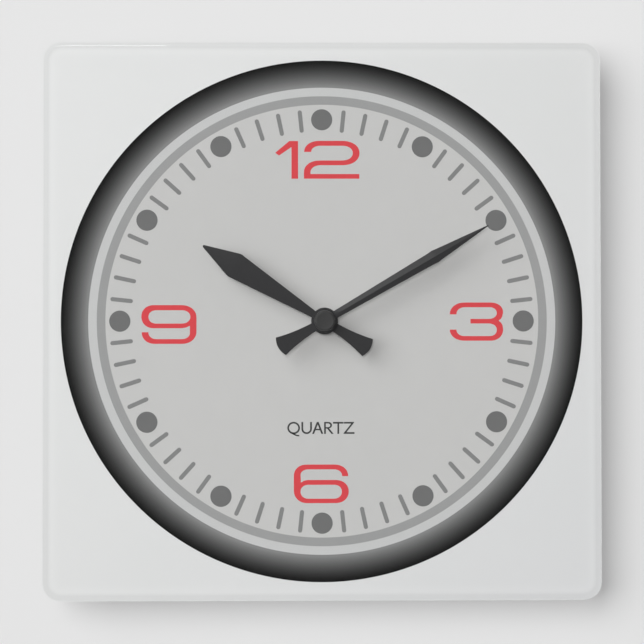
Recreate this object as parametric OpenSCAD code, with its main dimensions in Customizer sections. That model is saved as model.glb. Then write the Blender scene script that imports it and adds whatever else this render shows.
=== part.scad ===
/* [Panel] */
// Width and height of the square acrylic panel
panel_size = 273.05; // [200:0.05:400]
// Thickness of the acrylic panel
panel_thick = 6; // [3:0.5:10]
// Corner radius of the panel
panel_corner = 9; // [2:0.5:30]
// Rounding of the panel's polished edges
panel_edge = 2.2; // [0.4:0.1:2.5]
// Radius of the panel's rear edge
panel_back_edge = 0.4; // [0.2:0.1:1]
// Hole through panel, film and gasket for the movement's bushing
centre_hole_r = 4; // [3:0.05:6]
// How far the hole lies to the right of the panel's centre
hole_right = 0.9; // [-3:0.1:3]
// How far the hole lies below the panel's centre
hole_down = 0.25; // [-3:0.05:3]

/* [Hands] */
// Length of the hour hand from its axis to its tip
hour_len = 69.6; // [40:0.1:100]
// Half of the hour hand's greatest width
hour_half = 6.28; // [2:0.05:12]
// Distance from the axis to the hour hand's widest place
hour_wide_at = 50.8; // [20:0.1:90]
// Length of the minute hand from its axis to its tip
minute_len = 92.3; // [60:0.1:120]
// Half of the minute hand's greatest width
minute_half = 3.24; // [1:0.05:8]
// Distance from the axis to the minute hand's widest place
minute_wide_at = 61.8; // [30:0.1:100]
// Length of both tails behind the axis
tail_len = 26; // [10:0.1:40]
// How far the tails' ends bulge out
tail_bulge = 1.4; // [0:0.1:3]
// Half of the width at the end of both tails
tail_half = 4.92; // [2:0.05:8]
// Clockwise angle of the hour hand from twelve
hour_angle = 301.8; // [0:0.1:360]
// Clockwise angle of the minute hand from twelve
minute_angle = 59.8; // [0:0.1:360]
// Thickness of the hands' sheet
hand_thick = 0.5; // [0.3:0.1:1]
// Radius of the disc in the middle of each hand
hub_r = 6.5; // [4:0.1:9]
// Radius of the cap over the minute hand
cap_r = 5.1; // [3:0.1:8]

/* [Movement] */
// Width and height of the movement's case
case_size = 56; // [50:0.5:60]
// Radius of the hole in the hanging loop
hanger_r = 4; // [2.5:0.1:5]
// Radius of an AA cell
cell_r = 7.25; // [7:0.05:7.25]

/* [Gears] */
// Width of a tooth at the pitch circle as a share of the pitch
tooth_share = 0.42; // [0.3:0.01:0.5]
// Height of a tooth above the pitch circle in modules
tooth_top = 0.85; // [0.5:0.05:1]
// Depth of a gap below the pitch circle in modules
tooth_root = 1.25; // [1:0.05:1.4]

/* [Hidden] */
$fn = 96;

// X is to the right, Y towards the wall, Z up. The wall is at y = 0 and every
// depth below is a y value, so it is negative.
y_case_front = -16;
y_case_floor = -14;
y_cover = -1.5;
y_film = -17;
y_panel_rear = -17.25;
y_panel_front = y_panel_rear - panel_thick;
y_washer = y_panel_front - 0.4;
y_nut = y_washer - 2.2;
y_bushing = y_nut - 0.35;
y_hour = y_bushing - 1.4;
y_hour_tube = y_hour - 1.2;
y_minute = y_hour - 3;
y_minute_tube = y_minute - 1;
y_cap = y_minute - 2.9;

// Gear train: teeth and modules
t_rotor = 8;
t_inter = 32;
m_rotor = 0.25;
t_pinion = 8;
t_sec = 60;
m_sec = 0.3;
t_third = 60;
t_centre = 64;
t_cannon = 12;
t_motion = 48;
m_cannon = 0.4;
t_motion_pinion = 12;
t_hour = 36;
m_hour = 0.5;
t_knob = 16;
a_sec = (t_sec + t_pinion) * m_sec / 2;
m_centre = 2 * a_sec / (t_centre + t_pinion);
a_rotor = (t_rotor + t_inter) * m_rotor / 2;
a_motion = (t_cannon + t_motion) * m_cannon / 2;
a_knob = (t_knob + t_motion) * m_cannon / 2;

// Directions from one axis to the next, and the axes' places in X and Z
d_inter = 200;
d_third = 110;
d_rotor = 160;
d_motion = 0;
d_knob = 79.75;
function polar(r, a) = [r * cos(a), r * sin(a)];
p_centre = [0, 0];
p_inter = p_centre + polar(a_sec, d_inter);
p_third = p_centre + polar(a_sec, d_third);
p_rotor = p_inter + polar(a_rotor, d_rotor);
p_motion = p_centre + polar(a_motion, d_motion);
p_knob = p_motion + polar(a_knob, d_knob);

// A gear's phase when it meshes in direction dir with one of n_led teeth and phase p_led
function meshed(n_led, p_led, n, dir) = dir + 180 + 180 / n + (dir - p_led) * n_led / n;

// Places of the posts that carry the middle plate, and of the circuit board's
plate_posts = [[-8, 14.5], [23.8, 14], [23.8, -8.2], [-10.5, -8.3]];
board_posts = [[-9.5, 22], [7.5, 22]];

// Battery bay
bay_x = 26.8;
bay_z0 = -26.9;
bay_z1 = -11.6;
cell_y = -7.6;
cell_z = (bay_z0 + bay_z1) / 2;
cell_x0 = -24.6;
cell_can_x1 = 24.1;
cell_x1 = 25.7;

// Coil
coil_x = -21.5;
coil_y = -8;
coil_z0 = 3.9;
coil_z1 = 18.6;
coil_flange = 4.3;

// A flat shape drawn in X and Z, from y = front to y = rear
module slab(front, rear) {
  translate([0, rear, 0]) rotate([90, 0, 0]) linear_extrude(height = rear - front) children();
}

// A round bar along Y
module bar(p, r, front, rear) {
  translate([p[0], rear, p[1]]) rotate([90, 0, 0]) cylinder(r = r, h = rear - front);
}

module block(x0, x1, y0, y1, z0, z1) {
  translate([x0, y0, z0]) cube([x1 - x0, y1 - y0, z1 - z0]);
}

// A rectangle with round corners
module rounded(x0, x1, z0, z1, r) {
  translate([x0 + r, z0]) square([x1 - x0 - 2 * r, z1 - z0]);
  translate([x0, z0 + r]) square([x1 - x0, z1 - z0 - 2 * r]);
  for (x = [x0 + r, x1 - r], z = [z0 + r, z1 - r]) translate([x, z]) circle(r = r);
}

// One tooth gives four corners: root, flank at the pitch circle, tip
function gear_points(n, m, share) = [for (i = [0 : n - 1], k = [0 : 5])
    let (pitch = n * m / 2, step = 360 / n,
      half = k == 0 || k == 5 ? share * 0.62 : (k == 1 || k == 4 ? share * 0.5 : share * 0.24),
      r = k == 0 || k == 5 ? pitch - tooth_root * m : (k == 1 || k == 4 ? pitch : pitch + tooth_top * m),
      side = k < 3 ? -1 : 1)
    polar(r, i * step + side * half * step)];

module gear(n, m, p, phase, front, rear, share = tooth_share) {
  translate([p[0], rear, p[1]]) rotate([90, 0, 0]) rotate([0, 0, phase])
    linear_extrude(height = rear - front) polygon(gear_points(n, m, share));
}

// The outline of a hand that points to +Z, with its axis at the origin
function hand_side(len, half, wide, neck, blunt) = let (at = tail_len - tail_bulge) concat(
  [for (i = [0 : 6]) [tail_half * i / 6, -tail_len + tail_bulge * i * i / 36]],
  [for (i = [1 : 8]) let (s = at - i * (at - 6.4) / 8) [2.08 + (tail_half - 2.08) * pow(s / at, 2.3), -s]],
  [[neck, 6.2]],
  [[half - 0.2, wide - 1.6], [half, wide], [half - 0.2, wide + 1.6]],
  [[blunt, len - 0.5], [0.55 * blunt, len - 0.12], [0, len]]);
module hand_outline(len, half, wide, neck, blunt) {
  s = hand_side(len, half, wide, neck, blunt);
  polygon([for (q = s) q]);
  mirror([1, 0]) polygon([for (q = s) q]);
  translate([-0.05, -tail_len + 0.3]) square([0.1, len + tail_len - 1.5]);
}

// ---- Panel, film and gasket ----

module edge_profile() {
  h = panel_thick;
  e = panel_edge;
  b = panel_back_edge;
  square([panel_corner - e, h]);
  square([panel_corner - b, b]);
  translate([0, b]) square([panel_corner, h - e - b]);
  translate([panel_corner - e, h - e]) circle(r = e);
  translate([panel_corner - b, b]) circle(r = b);
}

module acrylic_panel() {
  s = panel_size / 2 - panel_corner;
  color([0.9, 0.94, 0.94, 0.35]) translate([0, y_panel_rear, 0]) rotate([90, 0, 0]) difference() {
    translate([-hole_right, hole_down, 0]) union() {
      translate([-s, -s, 0]) cube([2 * s, 2 * s, panel_thick]);
      for (a = [0, 90, 180, 270]) rotate([0, 0, a]) {
        translate([s, s, 0]) rotate_extrude(angle = 90) edge_profile();
        translate([s, s, 0]) rotate([90, 0, 0]) linear_extrude(height = 2 * s) edge_profile();
      }
    }
    translate([0, 0, -1]) cylinder(r = centre_hole_r, h = panel_thick + 2);
  }
}

module printed_film() {
  s = panel_size / 2 - panel_back_edge - 0.1;
  color([0.9, 0.9, 0.89]) slab(y_panel_rear, y_film) difference() {
    translate([-hole_right, hole_down]) rounded(-s, s, -s, s, panel_corner - panel_back_edge - 0.1);
    circle(r = centre_hole_r);
  }
}

module rubber_gasket() {
  color([0.06, 0.06, 0.06]) slab(y_film, y_case_front) difference() {
    circle(r = 14);
    circle(r = centre_hole_r + 0.1);
  }
}

// ---- Movement case ----

module movement_front_case() {
  h = case_size / 2;
  color([0.05, 0.05, 0.055]) difference() {
    union() {
      slab(y_case_front, y_cover) rounded(-h, h, -h, h, 2);
      // the battery bay's walls reach the wall face
      slab(y_cover - 1, 0) intersection() {
        rounded(-h, h, -h, h, 2);
        translate([-h, -h]) square([2 * h, h + bay_z1 + 0.6]);
      }
      // threaded bushing
      bar(p_centre, 3.9, y_bushing, y_case_front + 0.5);
      // hanging loop
      slab(-4, -1.5) difference() {
        union() {
          translate([-7.5, h - 1]) square([15, 8]);
          translate([0, h + 7]) circle(r = 7.5);
        }
        translate([0, h + 7]) circle(r = hanger_r);
      }
    }
    // wheel chamber
    block(-26.5, 26.5, y_case_floor, 0.5, -10.4, 26.5);
    // battery bay
    block(-bay_x, bay_x, y_case_floor, 0.5, bay_z0, bay_z1);
    block(-bay_x, bay_x, -15.1, y_case_floor + 0.1, cell_z - 4.5, cell_z + 4.5);
    // finger notch in the bay's outer wall, for taking the cell out
    block(-9, 9, -6, 0.5, -h - 0.5, bay_z0 + 0.5);
    // ways for the contact strips through the bay's inner wall
    block(25.9, bay_x, -12.2, 0.5, bay_z1 - 0.5, -10);
    block(-bay_x, -25.9, -14, 0.5, bay_z1 - 0.5, -10);
    // bushing bore
    bar(p_centre, 2.6, y_bushing - 1, y_case_floor + 1);
    // pivots in the front wall
    for (p = [p_third, p_rotor]) bar(p, 0.35, -14.9, y_case_floor + 1);
    bar(p_knob, 1.05, -15, y_case_floor + 1);
  }
  color([0.05, 0.05, 0.055]) {
    // post that the minute wheel turns on
    bar(p_motion, 1, y_case_floor - 0.5, -7.6);
    for (p = plate_posts) {
      bar(p, 1.8, y_case_floor - 0.5, -6.4);
      bar(p, 0.8, -6.6, -5.3);
    }
    for (p = board_posts) {
      bar(p, 1.6, y_case_floor - 0.5, -9);
      bar(p, 0.7, -9.2, -7.6);
    }
    // cradles that hold the coil's flanges
    for (z = [coil_z0 + 0.1, coil_z1 - 1.1]) block(coil_x - 3, coil_x + 3, y_case_floor - 0.5, coil_y - coil_flange - 0.05, z, z + 1);
  }
}

module movement_rear_cover() {
  h = case_size / 2;
  k = 6.5;
  color([0.05, 0.05, 0.055]) difference() {
    union() {
      slab(y_cover, 0) intersection() {
        rounded(-h, h, -h, h, 2);
        translate([-h, -10.95]) square([2 * h, 2 * h]);
      }
      // rim that centres the cover in the case
      slab(-2.6, y_cover + 0.2) difference() {
        translate([-26.35, -10.25]) square([52.7, 36.6]);
        translate([-25.15, -9.7]) square([50.3, 34.85]);
      }
      bar(p_centre, 1.6, -1.9, y_cover + 0.2);
      bar(p_inter, 1.4, -1.8, y_cover + 0.2);
      bar(p_third, 0.85, -3.4, y_cover + 0.2);
      bar(p_rotor, 1.4, -3.4, y_cover + 0.2);
      bar(p_knob, k + 1, -3.8, y_cover + 0.2);
    }
    bar(p_knob, k, -3.1, 0.5);
    bar(p_knob, 1.6, -5, 0);
    bar(p_centre, 0.4, -5, -0.7);
    for (p = [p_inter, p_third, p_rotor]) bar(p, 0.35, -5, -0.7);
    // ways for the contact strips
    block(25.6, 27, -3, y_cover, -11.5, 26.5);
    block(-27, -25.6, -3, y_cover, -11.5, 26.5);
    // shallow recess for a label, left plain
    block(-22, 4, -0.3, 0.5, 16, 24);
  }
}

module middle_plate() {
  color([0.82, 0.82, 0.8]) difference() {
    union() {
      slab(-6.4, -5.6) rounded(-16.6, 25.6, -9.9, 17, 1.2);
      bar(p_motion, 2, -8.7, -6.2);
    }
    bar(p_centre, 0.55, -7, -5);
    bar(p_third, 1.3, -7, -5);
    bar(p_rotor, 0.9, -7, -5);
    bar(p_inter, 0.4, -7, -5);
    bar(p_knob, 1.6, -7, -5);
    bar(p_motion, 1.1, -9, -6.9);
    for (p = plate_posts) bar(p, 0.85, -7, -5);
  }
}

module dial_washer() {
  color([0.8, 0.62, 0.3]) slab(y_washer, y_panel_front) difference() {
    circle(r = 5.8);
    circle(r = 4.05);
  }
}

module dial_nut() {
  color([0.8, 0.62, 0.3]) slab(y_nut, y_washer) difference() {
    circle(r = 5 / cos(30), $fn = 6);
    circle(r = 3.95);
  }
}

// ---- Hands and motion work ----

module hour_hand() {
  color([0.06, 0.06, 0.065]) difference() {
    union() {
      slab(y_hour, y_hour + hand_thick) {
        rotate([0, 0, -hour_angle]) hand_outline(hour_len, hour_half, hour_wide_at, 1.78, 0.62);
        circle(r = hub_r);
      }
      bar(p_centre, 3.4, y_hour + 0.1, y_hour + 1.1);
    }
    bar(p_centre, 2.57, y_hour - 1, y_hour + 3);
  }
}

ph_cannon = d_motion;
ph_motion = meshed(t_cannon, ph_cannon, t_motion, d_motion);
ph_motion_pinion = d_motion + 180;
ph_hour = meshed(t_motion_pinion, ph_motion_pinion, t_hour, d_motion + 180);
ph_knob = meshed(t_motion, ph_motion, t_knob, d_knob);

module hour_wheel() {
  color([0.9, 0.9, 0.88]) difference() {
    union() {
      gear(t_hour, m_hour, p_centre, ph_hour, -12.6, -11.4);
      bar(p_centre, 3.6, -12.8, -10.8);
      bar(p_centre, 2.55, y_hour_tube, -12);
    }
    bar(p_centre, 1.65, y_hour_tube - 1, -10);
    for (a = [30 : 60 : 330]) bar(polar(6, a), 1.5, -13, -11);
  }
}

module minute_hand() {
  color([0.06, 0.06, 0.065]) difference() {
    union() {
      slab(y_minute, y_minute + hand_thick) {
        rotate([0, 0, -minute_angle]) hand_outline(minute_len, minute_half, minute_wide_at, 1.88, 0.27);
        circle(r = hub_r - 0.6);
      }
      bar(p_centre, 2.7, y_minute + 0.1, y_minute + 1.4);
    }
    bar(p_centre, 1.62, y_minute - 1, y_minute + 3);
  }
}

module cannon_pinion() {
  color([0.78, 0.6, 0.3]) difference() {
    union() {
      gear(t_cannon, m_cannon, p_centre, ph_cannon, -10.4, -8.6);
      bar(p_centre, 1.6, y_minute_tube, -10);
      bar(p_centre, 1, -9, -6.7);
    }
    bar(p_centre, 0.55, y_minute_tube - 1, -6);
  }
}

module hand_cap() {
  e = 1.3;
  top = [for (i = [0 : 6]) [cap_r - e + e * cos(i * 15), y_minute - y_cap - e + e * sin(i * 15)]];
  color([0.05, 0.05, 0.055]) translate([0, y_minute, 0]) rotate([90, 0, 0]) rotate_extrude()
    polygon(concat([[0, 1.15], [1.65, 1.15], [1.65, 0], [cap_r, 0]], top, [[0, y_minute - y_cap]]));
}

module minute_wheel() {
  color([0.9, 0.9, 0.88]) difference() {
    union() {
      gear(t_motion, m_cannon, p_motion, ph_motion, -10, -9);
      gear(t_motion_pinion, m_hour, p_motion, ph_motion_pinion, -12.8, -9.8);
    }
    bar(p_motion, 1.05, -14, -8);
    for (a = [30 : 60 : 330]) bar(p_motion + polar(6.3, a), 1.6, -11, -8);
  }
}

module setting_knob() {
  color([0.07, 0.07, 0.075]) {
    difference() {
      gear(36, 1 / 3, p_knob, 0, -2.7, -0.4, 0.5);
      // slot for a coin
      translate([p_knob[0], 0, p_knob[1]]) block(-4.2, 4.2, -1.1, 0.5, -0.6, 0.6);
    }
    bar(p_knob, 1.5, -9, -2.5);
    gear(t_knob, m_cannon, p_knob, ph_knob, -10.2, -8.8);
    bar(p_knob, 1, -14.7, -10);
  }
}

// ---- Going train ----

module centre_wheel() {
  color([0.85, 0.3, 0.25]) difference() {
    gear(t_centre, m_centre, p_centre, meshed(t_pinion, d_third + 180, t_centre, d_third + 180), -7.8, -6.8);
    bar(p_centre, 1.05, -9, -6);
    for (a = [0 : 60 : 300]) bar(polar(5.4, a), 1.7, -9, -6);
  }
}

module seconds_wheel() {
  color([0.92, 0.92, 0.9]) difference() {
    union() {
      gear(t_sec, m_sec, p_centre, meshed(t_pinion, d_inter + 180, t_sec, d_inter + 180), -3.2, -2.2);
      gear(t_pinion, m_sec, p_centre, d_third, -5.4, -3.1);
    }
    bar(p_centre, 0.52, -6, -2);
    for (a = [0 : 60 : 300]) bar(polar(5.2, a), 1.7, -3.5, -2);
  }
}

module seconds_shaft() {
  color([0.75, 0.75, 0.76]) {
    bar(p_centre, 0.5, y_minute_tube + 0.5, -1.95);
    bar(p_centre, 0.35, -2.2, -0.9);
  }
}

module third_wheel() {
  color([0.92, 0.92, 0.9]) difference() {
    union() {
      gear(t_third, m_sec, p_third, meshed(t_pinion, d_third, t_third, d_third), -5, -4.2);
      bar(p_third, 0.95, -7, -4.5);
      gear(t_pinion, m_centre, p_third, d_third + 180, -8.2, -6.6);
    }
    bar(p_third, 0.42, -9, -4);
    for (a = [0 : 60 : 300]) bar(p_third + polar(5.2, a), 1.7, -5.5, -4);
  }
}

module third_arbor() {
  color([0.75, 0.75, 0.76]) {
    bar(p_third, 0.4, -13.9, -3.6);
    bar(p_third, 0.3, -14.7, -0.9);
  }
}

module intermediate_wheel() {
  color([0.92, 0.92, 0.9]) difference() {
    union() {
      gear(t_inter, m_rotor, p_inter, meshed(t_rotor, d_rotor + 180, t_inter, d_rotor + 180), -5, -4.2);
      gear(t_pinion, m_sec, p_inter, d_inter + 180, -4.4, -2.1);
    }
    bar(p_inter, 0.42, -6, -2);
  }
}

module intermediate_arbor() {
  color([0.75, 0.75, 0.76]) {
    bar(p_inter, 0.4, -5.4, -2);
    bar(p_inter, 0.3, -6.3, -0.9);
  }
}

module rotor_magnet() {
  color([0.3, 0.3, 0.32]) difference() {
    bar(p_rotor, 3, -10, -7);
    bar(p_rotor, 0.42, -11, -6);
  }
}

module rotor_arbor() {
  color([0.9, 0.9, 0.88]) {
    bar(p_rotor, 0.4, -13.7, -3.7);
    bar(p_rotor, 0.3, -14.7, -0.9);
    gear(t_rotor, m_rotor, p_rotor, d_rotor + 180, -5.2, -4);
  }
}

// ---- Motor and electronics ----

module stator_plate() {
  color([0.62, 0.63, 0.65]) slab(-9.2, -8.4) difference() {
    union() {
      translate(p_rotor) circle(r = 5);
      translate([-24.6, -9.9]) square([12, 4.4]);
      translate([-16.9, 0]) square([5, 24]);
      translate([-24.6, 19.6]) square([12.7, 4.4]);
    }
    translate(p_rotor) circle(r = 3.4);
    translate(p_rotor) rotate([0, 0, 45]) square([0.5, 9], center = true);
  }
}

module coil_core() {
  color([0.6, 0.61, 0.63]) block(coil_x - 1.6, coil_x + 1.6, -8.4, -7.6, -9.9, 24);
}

module coil_bobbin() {
  color([0.85, 0.83, 0.75]) difference() {
    union() {
      for (z = [coil_z0, coil_z1 - 1]) translate([coil_x, coil_y, z]) cylinder(r = coil_flange, h = 1);
      translate([coil_x, coil_y, coil_z0]) cylinder(r = 2.1, h = coil_z1 - coil_z0);
    }
    block(coil_x - 1.65, coil_x + 1.65, -8.45, -7.55, coil_z0 - 1, coil_z1 + 1);
  }
}

module coil_winding() {
  color([0.72, 0.38, 0.2]) translate([coil_x, coil_y, coil_z0 + 1.02]) difference() {
    cylinder(r = 3.9, h = coil_z1 - coil_z0 - 2.04);
    translate([0, 0, -1]) cylinder(r = 2.12, h = 20);
  }
}

module circuit_board() {
  color([0.2, 0.42, 0.24]) slab(-9, -8) difference() {
    translate([-11.3, 19]) square([21.3, 7.3]);
    for (p = board_posts) translate(p) circle(r = 0.75);
  }
}

module ic_chip() {
  color([0.04, 0.04, 0.04]) translate([3.6, -8, 22.6]) rotate([-90, 0, 0]) rotate_extrude()
    polygon([[0, 0], [2.2, 0], [2, 0.45], [1.4, 0.75], [0, 0.9]]);
}

module quartz_crystal() {
  color([0.75, 0.75, 0.76]) {
    translate([-6.6, -6.95, 22.2]) rotate([0, 90, 0]) cylinder(r = 1.02, h = 6.2);
    for (z = [21.8, 22.6]) translate([-7.6, -6.95, z]) rotate([0, 90, 0]) cylinder(r = 0.15, h = 1.2);
    for (z = [21.8, 22.6]) block(-7.75, -7.45, -8, -6.9, z - 0.15, z + 0.15);
  }
}

module battery_contact_positive() {
  color([0.78, 0.78, 0.76]) {
    block(26.4, bay_x, -12, -3, cell_z - 4.5, bay_z1 + 0.2);
    block(26.1, bay_x, -12, -10, bay_z1 - 0.2, -10.6);
    block(26.1, 26.5, -12, -10, -10.8, 25.9);
    block(8, 26.5, -12, -10, 25.5, 25.9);
    block(8, 9.6, -12, -9, 25.5, 25.9);
  }
}

module battery_contact_negative() {
  color([0.78, 0.78, 0.76]) {
    block(-bay_x, -26.4, -12, -3, cell_z - 4.5, bay_z1 + 0.2);
    // bowed leaf that pushes on the cell
    translate([0, -4.5, 0]) rotate([90, 0, 0]) linear_extrude(height = 6.2)
      polygon([[-26.5, cell_z - 4.5], [-24.95, cell_z - 0.8], [-24.95, cell_z + 0.8], [-26.2, cell_z + 3.6], [-26.5, cell_z + 3.4], [-25.3, cell_z + 0.7], [-25.3, cell_z - 0.7], [-26.5, cell_z - 3.7]]);
    block(-bay_x, -26.4, -13.9, -11.9, bay_z1 - 2, bay_z1 + 0.2);
    block(-bay_x, -26.1, -13.9, -12.6, bay_z1 - 0.2, -10.6);
    block(-26.5, -26.1, -13.9, -12.6, -10.8, 25.9);
    block(-26.5, -9.6, -13.9, -12.6, 25.5, 25.9);
    block(-11.2, -9.6, -13.9, -9, 25.5, 25.9);
  }
}

module battery_can() {
  color([0.7, 0.7, 0.7]) translate([cell_x0, cell_y, cell_z]) rotate([0, 90, 0]) {
    cylinder(r = cell_r - 0.16, h = cell_can_x1 - cell_x0);
  }
}

module battery_sleeve() {
  color([0.1, 0.1, 0.11]) translate([cell_x0 + 0.2, cell_y, cell_z]) rotate([0, 90, 0]) difference() {
    cylinder(r = cell_r, h = cell_can_x1 - cell_x0 - 0.2);
    translate([0, 0, -1]) cylinder(r = cell_r - 0.15, h = 60);
  }
}

module battery_terminal() {
  color([0.75, 0.75, 0.74]) translate([cell_can_x1, cell_y, cell_z]) rotate([0, 90, 0]) {
    cylinder(r = 4.6, h = 0.5);
    cylinder(r = 2.7, h = cell_x1 - cell_can_x1);
  }
}

acrylic_panel();
printed_film();
rubber_gasket();
movement_front_case();
movement_rear_cover();
middle_plate();
dial_washer();
dial_nut();
hour_hand();
hour_wheel();
minute_hand();
cannon_pinion();
hand_cap();
minute_wheel();
setting_knob();
centre_wheel();
seconds_wheel();
seconds_shaft();
third_wheel();
third_arbor();
intermediate_wheel();
intermediate_arbor();
rotor_magnet();
rotor_arbor();
stator_plate();
coil_core();
coil_bobbin();
coil_winding();
circuit_board();
ic_chip();
quartz_crystal();
battery_contact_positive();
battery_contact_negative();
battery_can();
battery_sleeve();
battery_terminal();
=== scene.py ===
# Square acrylic wall clock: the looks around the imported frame.
# Lengths in this file are in millimetres and become metres where a mesh is made.
import math

import bmesh
import bpy
from mathutils import Matrix, Vector
from mathutils.geometry import tessellate_polygon


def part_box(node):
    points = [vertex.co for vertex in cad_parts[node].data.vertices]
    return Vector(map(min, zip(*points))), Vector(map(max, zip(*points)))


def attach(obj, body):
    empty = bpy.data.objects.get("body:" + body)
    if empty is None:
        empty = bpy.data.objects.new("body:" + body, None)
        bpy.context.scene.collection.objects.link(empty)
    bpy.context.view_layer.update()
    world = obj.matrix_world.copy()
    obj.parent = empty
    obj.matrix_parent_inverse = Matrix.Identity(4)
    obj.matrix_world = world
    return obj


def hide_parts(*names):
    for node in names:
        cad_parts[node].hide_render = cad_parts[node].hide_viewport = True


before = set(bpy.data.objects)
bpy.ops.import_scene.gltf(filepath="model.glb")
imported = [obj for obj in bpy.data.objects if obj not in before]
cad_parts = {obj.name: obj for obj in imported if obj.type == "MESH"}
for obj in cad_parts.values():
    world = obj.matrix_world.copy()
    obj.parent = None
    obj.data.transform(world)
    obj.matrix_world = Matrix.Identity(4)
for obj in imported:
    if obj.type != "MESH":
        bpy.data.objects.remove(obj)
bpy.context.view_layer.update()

MM = 0.001
SCENE = bpy.context.scene


def mm_box(node):
    lo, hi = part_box(node)
    return [v / MM for v in lo], [v / MM for v in hi]


PANEL_LO, PANEL_HI = mm_box("acrylic_panel")
FILM_LO, FILM_HI = mm_box("printed_film")
PANEL_X = (PANEL_LO[0] + PANEL_HI[0]) / 2
PANEL_Z = (PANEL_LO[2] + PANEL_HI[2]) / 2
PANEL_HALF = (PANEL_HI[0] - PANEL_LO[0]) / 2
Y_FRONT, Y_REAR = PANEL_LO[1], PANEL_HI[1]

# The print sits a little off the hole that the hands turn in.
PRINT_X, PRINT_Z = -0.95, 0.29


# ---------------------------------------------------------------- camera

CAMERA_AT = Vector((-0.0279212, -1.2, -0.0280221))
cam_data = bpy.data.cameras.new("camera")
cam_data.sensor_fit = "HORIZONTAL"
cam_data.sensor_width = 36.0
cam_data.lens = 134.88
cam_data.clip_start = 0.01
cam_data.clip_end = 50.0
camera = bpy.data.objects.new("camera", cam_data)
SCENE.collection.objects.link(camera)
base = Matrix(((1, 0, 0), (0, 0, -1), (0, 1, 0)))
turn = Matrix.Rotation(-0.0227139, 3, "Z") @ Matrix.Rotation(0.0010742, 3, "Y") @ Matrix.Rotation(0.0234542, 3, "X")
camera.matrix_world = Matrix.Translation(CAMERA_AT) @ (turn @ base).to_4x4()
SCENE.camera = camera


# ---------------------------------------------------------------- materials

def srgb(*v):
    out = []
    for c in v:
        c = c / 255.0
        out.append(c / 12.92 if c <= 0.04045 else ((c + 0.055) / 1.055) ** 2.4)
    if len(out) == 1:
        out = out * 3
    return tuple(out)


def shaded(c, k):
    return tuple(min(1.0, max(0.0, v * k)) for v in c) + (1.0,)


class Graph:
    """A material with a Principled shader, and short ways to add nodes to it."""

    def __init__(self, name):
        self.mat = bpy.data.materials.new(name)
        self.mat.use_nodes = True
        self.nt = self.mat.node_tree
        self.nt.nodes.clear()
        self.out = self.add("ShaderNodeOutputMaterial")
        self.bsdf = self.add("ShaderNodeBsdfPrincipled")
        self.link(self.bsdf.outputs[0], self.out.inputs["Surface"])
        self.coord = self.add("ShaderNodeTexCoord").outputs["Object"]

    def add(self, kind, **props):
        n = self.nt.nodes.new(kind)
        for k, v in props.items():
            setattr(n, k, v)
        return n

    def link(self, a, b):
        self.nt.links.new(a, b)

    def mapped(self, scale=(1, 1, 1), rotation=(0, 0, 0), location=(0, 0, 0)):
        m = self.add("ShaderNodeMapping")
        m.inputs["Scale"].default_value = scale
        m.inputs["Rotation"].default_value = rotation
        m.inputs["Location"].default_value = location
        self.link(self.coord, m.inputs["Vector"])
        return m.outputs[0]

    def noise(self, scale, detail=3.0, rough=0.5, vector=None):
        n = self.add("ShaderNodeTexNoise")
        n.inputs["Scale"].default_value = scale
        n.inputs["Detail"].default_value = detail
        n.inputs["Roughness"].default_value = rough
        self.link(vector or self.coord, n.inputs["Vector"])
        return n.outputs["Fac"]

    def ramp(self, fac, stops, interpolation="LINEAR"):
        r = self.add("ShaderNodeValToRGB")
        r.color_ramp.interpolation = interpolation
        els = r.color_ramp.elements
        while len(els) > 1:
            els.remove(els[-1])
        els[0].position, els[0].color = stops[0][0], stops[0][1]
        for p, c in stops[1:]:
            e = els.new(p)
            e.color = c
        self.link(fac, r.inputs[0])
        return r.outputs["Color"]

    def range(self, fac, lo, hi, a=0.3, b=0.7):
        m = self.add("ShaderNodeMapRange")
        m.inputs["From Min"].default_value = a
        m.inputs["From Max"].default_value = b
        m.inputs["To Min"].default_value = lo
        m.inputs["To Max"].default_value = hi
        self.link(fac, m.inputs["Value"])
        return m.outputs[0]

    def bump(self, height, distance, strength=1.0, normal=None):
        b = self.add("ShaderNodeBump")
        b.inputs["Strength"].default_value = strength
        b.inputs["Distance"].default_value = distance
        self.link(height, b.inputs["Height"])
        if normal is not None:
            self.link(normal, b.inputs["Normal"])
        return b.outputs[0]

    def mix(self, fac, a, b):
        m = self.add("ShaderNodeMix", data_type="RGBA")
        self.link(fac, m.inputs["Factor"])
        for s, v in (("A", a), ("B", b)):
            sock = [i for i in m.inputs if i.name == s and i.type == "RGBA"][0]
            if hasattr(v, "is_output"):
                self.link(v, sock)
            else:
                sock.default_value = v
        return [o for o in m.outputs if o.type == "RGBA"][0]

    def set(self, **values):
        for k, v in values.items():
            self.bsdf.inputs[k.replace("_", " ")].default_value = v
        return self


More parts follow.
